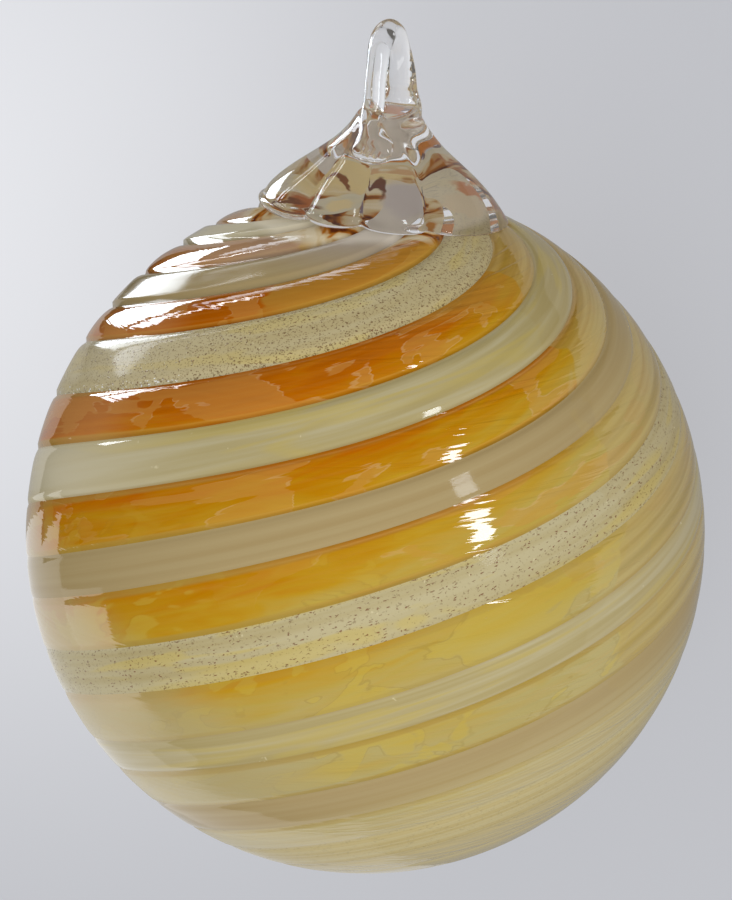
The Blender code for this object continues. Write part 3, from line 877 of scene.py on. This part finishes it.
def speckled_glass():
    """Cream with brown flecks, thicker along the band's edges, some yellow, a painted reflection at the
    left and painted glints.
    """
    graph = Graph("speckled_glass")
    place = BandPlace(graph)
    streak = place.grain(graph, 1.2, 4.0, 7.4, 3.0)
    colour = graph.ramp(streak, ((0.35, (178, 161, 116)), (0.6, (188, 174, 134))))
    yellow = place.flame(graph, 2.6, 1.8, 9.2).step(0.52, 0.64) * 0.5
    colour = graph.mix(yellow, colour, linear(198, 174, 88))
    border = place.edge.step(0.74, 1.0)
    upper = place.colatitude.step(72.0, 45.0)
    colour = graph.mix(upper * 0.25, colour, linear(208, 186, 138))
    # painted reflection: a milky pale sheen on the upper bands at the left
    painted_left_reflection = place.bearing.step(-25.0, -75.0) * upper
    colour = graph.mix(painted_left_reflection * 0.45, colour, linear(214, 200, 170))
    colour, specks = peppered(graph, place, colour, border, upper)
    colour = painted_limb_light(graph, place, colour, 0.2)
    colour = bubbles_with_painted_glints(graph, place, colour)
    colour = painted_light_under_hanger(graph, place, colour)
    colour = blotted(graph, place, colour)
    colour = washed(graph, place, colour)
    return banded_shader(graph, place, colour, 0.12, specks + streak * 0.3, 0.00004, 1.2)


def clear_glass():
    """Clear glass by plain values. A faint glow keeps long inner reflections from ending in black."""
    graph = Graph("clear_glass")
    inputs = {
        "Base Color": (0.98, 0.98, 0.975, 1.0), "Roughness": 0.0, "IOR": 1.5, "Transmission Weight": 1.0,
        "Emission Color": (1.0, 0.96, 0.9, 1.0), "Emission Strength": 0.02,
    }
    return graph.finish(graph.add("BsdfPrincipled", inputs=inputs))


# ---------------------------------------------------------------- stage, light and camera


def glowing_floor_with_painted_pool():
    """A pale floor that glows by itself, brightest in a painted pool of light beside the ornament."""
    graph = Graph("glowing_floor_with_painted_pool")
    place = graph.add("TexCoord", output=3)
    away = graph.add("VectorMath", {"operation": "DISTANCE"}, {0: place, 1: POOL_CENTRE}, 1)
    colour = graph.ramp(away.step(0.0, POOL_REACH), ((0.0, (228, 229, 233)), (1.0, (182, 183, 188))))
    inputs = {
        "Base Color": (0.12, 0.12, 0.125, 1.0), "Roughness": 0.9, "Specular IOR Level": 0.0,
        "Emission Color": colour, "Emission Strength": FLOOR_GLOW,
    }
    return graph.finish(graph.add("BsdfPrincipled", inputs=inputs))


def make_floor():
    """A pale floor that glows by itself, which gloss doesn't mirror: the lights named floor_ stand in for
    it there.
    """
    half = FLOOR_HALF
    corners = np.array([(-half, -half, 0), (half, -half, 0), (half, half, 0), (-half, half, 0)])
    floor = mesh_piece("floor", corners, [[0, 1, 2, 3]])
    floor.data.materials.append(glowing_floor_with_painted_pool())
    floor.visible_glossy = False


def area_light(name, place, aim, size, radiance, colour=(1.0, 1.0, 1.0), up=(0.0, 0.0, 1.0), gloss=True,
               diffuse=True, through=True):
    """A rectangular light at a place, facing aim, with its size across and along up.

    Whether it shows in gloss, lights rough skins and shines through clear glass can be switched off.
    """
    light = bpy.data.lights.new(name, "AREA")
    light.shape = "RECTANGLE"
    light.size, light.size_y = size
    light.color = colour
    light.energy = radiance * np.pi * size[0] * size[1]
    made = bpy.data.objects.new(name, light)
    away = (Vector(place) - Vector(aim)).normalized()
    right = Vector(up).cross(away).normalized()
    turn = Matrix((right, away.cross(right), away)).transposed()
    made.matrix_world = Matrix.Translation(place) @ turn.to_4x4()
    made.visible_camera = False
    made.visible_glossy, made.visible_diffuse, made.visible_transmission = gloss, diffuse, through
    bpy.context.scene.collection.objects.link(made)


def make_light():
    """Even fill that mirrors nowhere, a strip, panels on the floor, pale cards and a sky."""
    area_light("fill", FILL_PLACE, FILL_AIM, FILL_SIZE, FILL_RADIANCE, gloss=False)
    ball = Vector(BALL_CENTRE)
    first, last = (Vector(end) for end in STRIP_ENDS)
    place = ball + STRIP_REACH * (first + last).normalized()
    area_light("strip", place, ball, STRIP_SIZE, STRIP_RADIANCE, STRIP_COLOUR, up=first - last)
    for name, x, y, size, lean, radiance, colour in PANELS:
        area_light(name, (x, y, PANEL_LIFT), (x, y, 1.0), size, radiance, colour, up=(lean, 1.0, 0.0),
                   diffuse=name == "panel_far", through=False)
    for name, x, width, radiance in CARDS:
        place, aim = (x, CARD_Y, CARD_MIDDLE), (x, 0.0, CARD_MIDDLE)
        area_light(name, place, aim, (width, CARD_HEIGHT), radiance, through=False)
    world = bpy.data.worlds.new("studio")
    world.use_nodes = True
    sky = world.node_tree.nodes["Background"]
    sky.inputs["Color"].default_value = SKY_COLOUR
    sky.inputs["Strength"].default_value = SKY_STRENGTH
    bpy.context.scene.world = world
    world.cycles_visibility.glossy = False
    bpy.context.scene.view_settings.view_transform = "Standard"


def make_camera():
    """Looks at the ornament's front from above, with the hanger at the top of the picture."""
    axis, front, _ = bearing_frame(TWIST_LEAN)
    rise = np.radians(VIEW_RISE)
    towards = np.sin(rise) * axis + np.cos(rise) * front
    up = np.cos(rise) * axis - np.sin(rise) * front
    right = np.cross(up, towards)
    target = BALL_CENTRE + AIM_UP * up + AIM_RIGHT * right
    data = bpy.data.cameras.new("camera")
    data.lens = LENS
    data.sensor_width = FILM_WIDTH
    camera = bpy.data.objects.new("camera", data)
    turn = Matrix((right, up, towards)).transposed().to_4x4()
    camera.matrix_world = Matrix.Translation(target + DISTANCE * towards) @ turn
    bpy.context.scene.collection.objects.link(camera)
    bpy.context.scene.camera = camera


make_camera()
make_light()
make_floor()

ball = make_ball()
for make in (amber_glass, tan_glass, speckled_glass, pale_glass):
    ball.data.materials.append(make())
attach(ball, "root")
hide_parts("orb")

hanger = make_hanger()
hanger.data.materials.clear()
hanger.data.materials.append(clear_glass())
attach(hanger, "root")
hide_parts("hanger")
